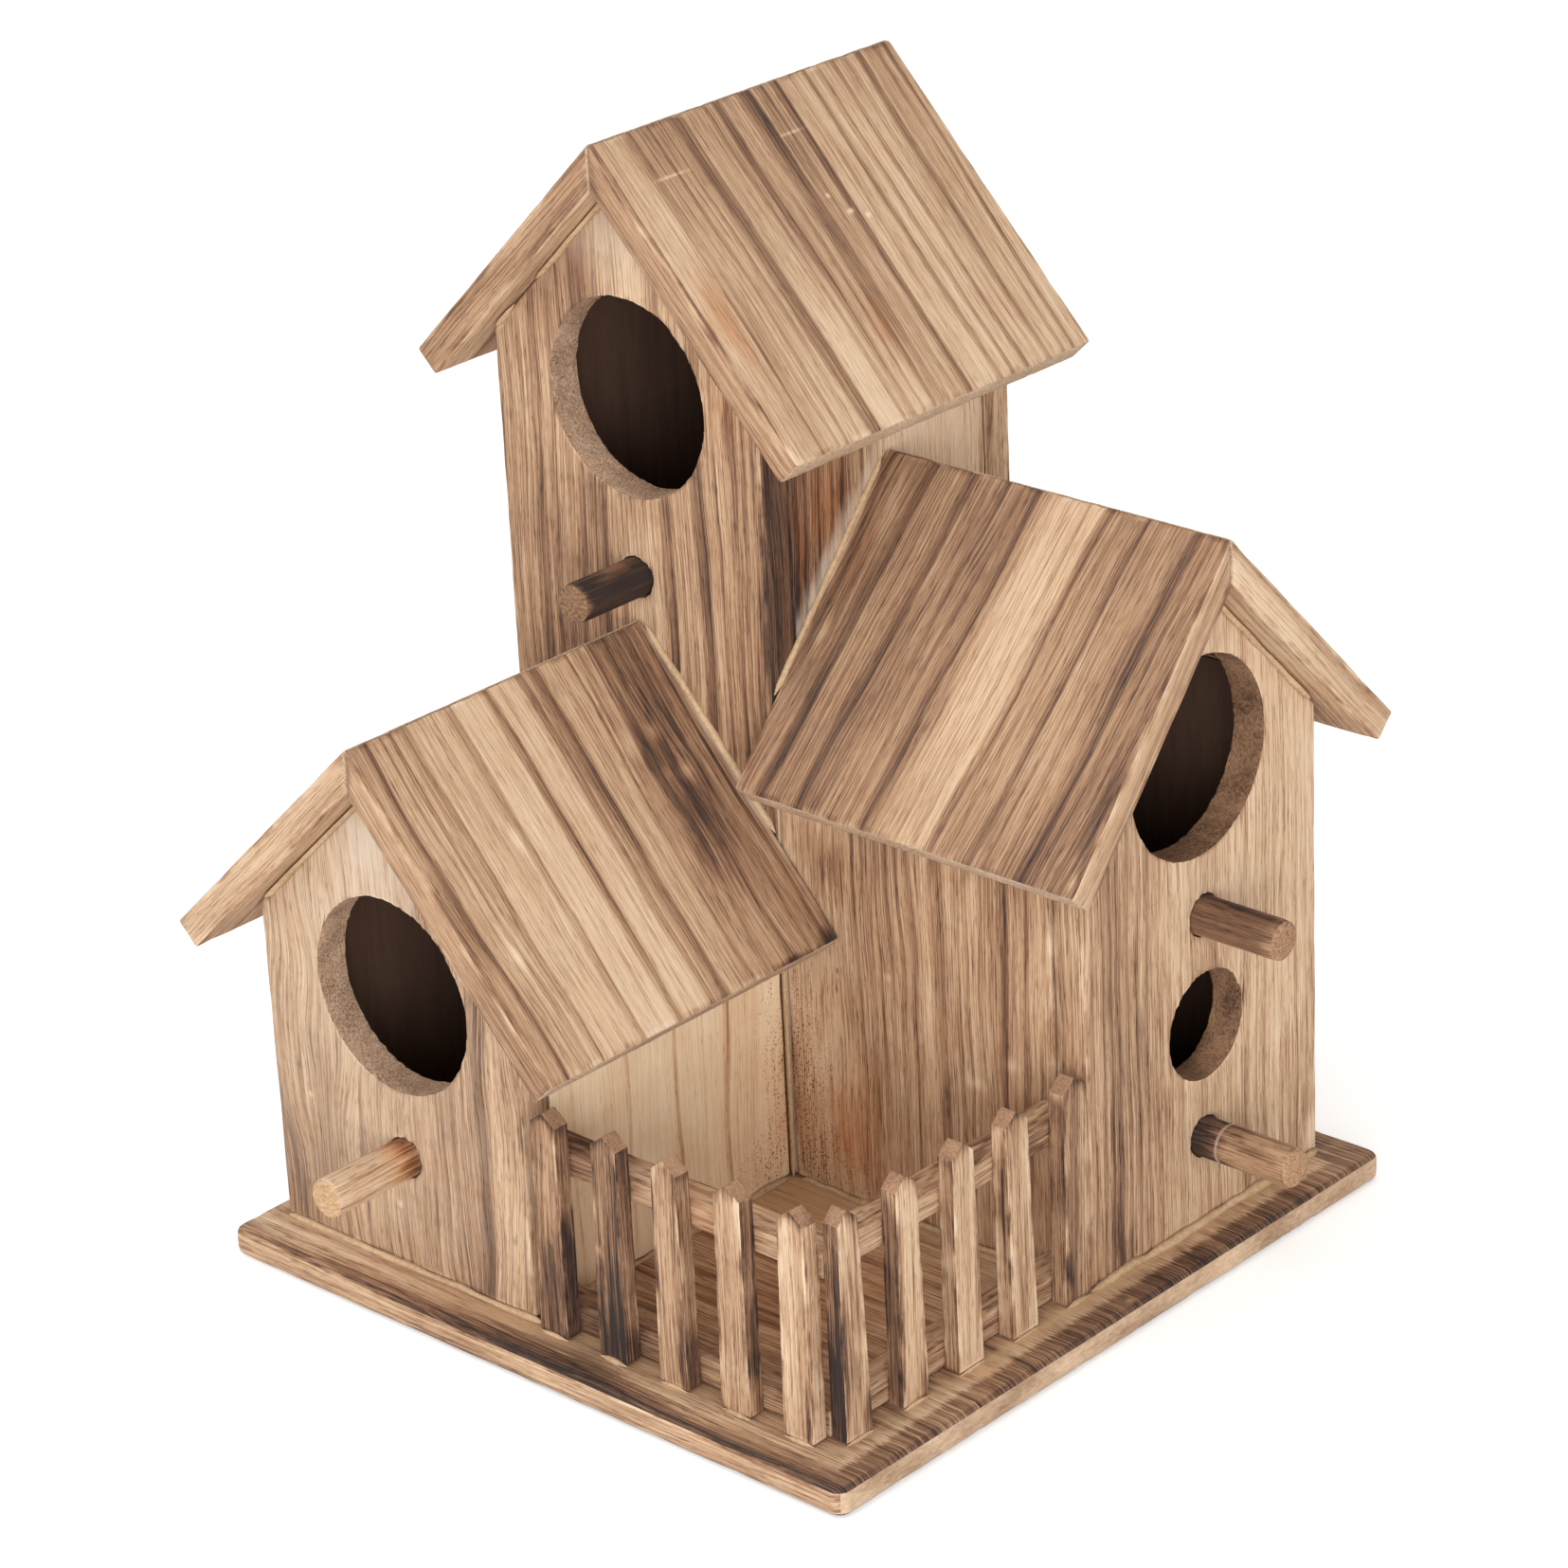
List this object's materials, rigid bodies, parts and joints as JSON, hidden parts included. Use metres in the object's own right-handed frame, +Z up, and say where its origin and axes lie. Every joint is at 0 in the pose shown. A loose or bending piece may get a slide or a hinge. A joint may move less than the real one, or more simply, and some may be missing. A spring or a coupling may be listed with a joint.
{
  "type": "parakeet nest box",
  "caption": "Cluster of small torch-burnt wooden nest houses with gabled roofs, round entrances and dowel perches, glued to a board with a picket-fenced corner.",
  "frame": {"origin": "centre of the base board's underside", "axes": "+Z up, -Y towards the fronts of the low and the tall house, +X towards the front of the double house"},
  "size_m": [0.228, 0.2224, 0.2666],
  "materials": {
    "torched_board": "sawn paulownia, torch-burnt and brushed, unvarnished",
    "bare_board": "sawn paulownia, hardly burnt",
    "dowel": "turned birch, torch-burnt",
    "picket": "sawn paulownia, burnt in bands"
  },
  "bodies": {
    "root": {"base_board": "torched_board", "low_front_wall": "torched_board", "low_left_wall": "torched_board", "low_right_wall": "torched_board", "low_roof_left": "torched_board", "low_roof_right": "torched_board", "tall_front_wall": "torched_board", "tall_back_wall": "torched_board", "tall_left_wall": "torched_board", "tall_right_wall": "torched_board", "tall_roof_left": "torched_board", "tall_roof_right": "torched_board", "double_front_wall": "torched_board", "double_left_wall": "torched_board", "double_right_wall": "torched_board", "double_roof_left": "torched_board", "double_roof_right": "torched_board", "double_inner_floor": "bare_board", "low_perch": "dowel", "tall_perch": "dowel", "double_upper_perch": "dowel", "double_lower_perch": "dowel", "picket_front_1": "picket", "picket_front_2": "picket", "picket_front_3": "picket", "picket_front_4": "picket", "picket_front_5": "picket", "picket_side_1": "picket", "picket_side_2": "picket", "picket_side_3": "picket", "picket_side_4": "picket", "picket_side_5": "picket", "rail_front_lower": "bare_board", "rail_front_upper": "bare_board", "rail_side_lower": "bare_board", "rail_side_upper": "bare_board"}
  },
  "joints": []
}
